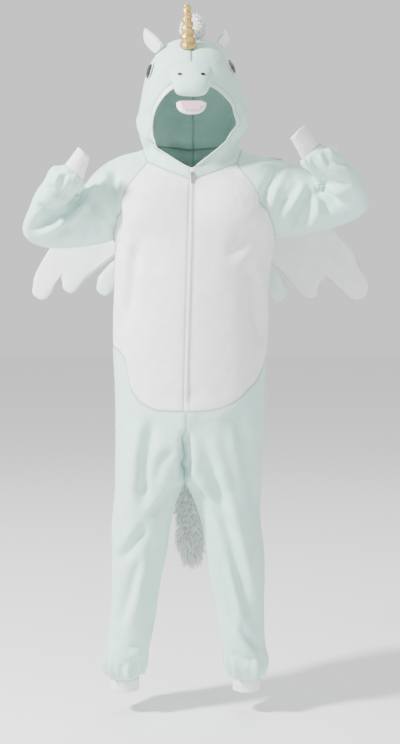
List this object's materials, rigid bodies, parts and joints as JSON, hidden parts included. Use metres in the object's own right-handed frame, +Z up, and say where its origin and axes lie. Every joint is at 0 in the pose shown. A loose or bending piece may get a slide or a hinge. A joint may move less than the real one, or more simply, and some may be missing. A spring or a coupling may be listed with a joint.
{
  "type": "hooded animal onesie",
  "caption": "Hooded plush one-piece costume shaped as a unicorn with stuffed snout, horn, ears, mane, wings and tail, front zip, ribbed cuffs, held in a standing worn pose",
  "frame": {"origin": "middle of the neck opening at the level of the shoulders, where the garment rests on its wearer", "axes": "+X to the wearer's left, +Y to the wearer's back, +Z up"},
  "size_m": [0.8829, 0.4294, 1.7011],
  "materials": {
    "mint_plush": "brushed plush fleece, mint",
    "white_plush": "brushed plush fleece, white",
    "pale_mint_plush": "brushed plush fleece, very pale mint",
    "rib": "knitted rib, white",
    "binding": "satin binding, pale mint",
    "lining": "short plush, off-white",
    "pink_cloth": "felt, pink",
    "black_thread": "satin embroidery, black",
    "gold_cloth": "metallic woven cloth, gold",
    "zip_tape": "woven zip tape with a white coil",
    "zip_metal": "nickel-plated slider and pull tab"
  },
  "bodies": {
    "root": {"front_right": "white_plush", "front_left": "white_plush", "leg_front_right": "mint_plush", "leg_front_left": "mint_plush", "back_right": "mint_plush", "back_left": "mint_plush", "sleeve_right": "mint_plush", "sleeve_left": "mint_plush", "hood_right": "mint_plush", "hood_left": "mint_plush", "hood_binding_right": "binding", "hood_binding_left": "binding", "cuff_wrist_right": "rib", "cuff_wrist_left": "rib", "cuff_ankle_right": "rib", "cuff_ankle_left": "rib", "eye_rim_right": "lining", "eye_rim_left": "lining", "eye_right": "black_thread", "eye_left": "black_thread", "ear_right": "mint_plush", "ear_left": "mint_plush", "ear_lining_right": "lining", "ear_lining_left": "lining", "wing_right": "white_plush", "wing_left": "white_plush", "wing_feather_right": "pale_mint_plush", "wing_feather_left": "pale_mint_plush", "nostril_right": "black_thread", "nostril_left": "black_thread", "zip": "zip_tape", "muzzle": "mint_plush", "muzzle_lip": "lining", "mouth": "pink_cloth", "horn": "gold_cloth", "mane": "white_plush", "tail": "white_plush", "zip_slider": "zip_metal"},
    "zip_pull": {"zip_pull": "zip_metal"}
  },
  "joints": [
    {"name": "pull_swing", "type": "hinge", "parent": "root", "child": "zip_pull", "pos_m": [-0.001, -0.12655, -0.0414], "axis": [-1, 0, 0], "range_deg": [0, 160]}
  ]
}
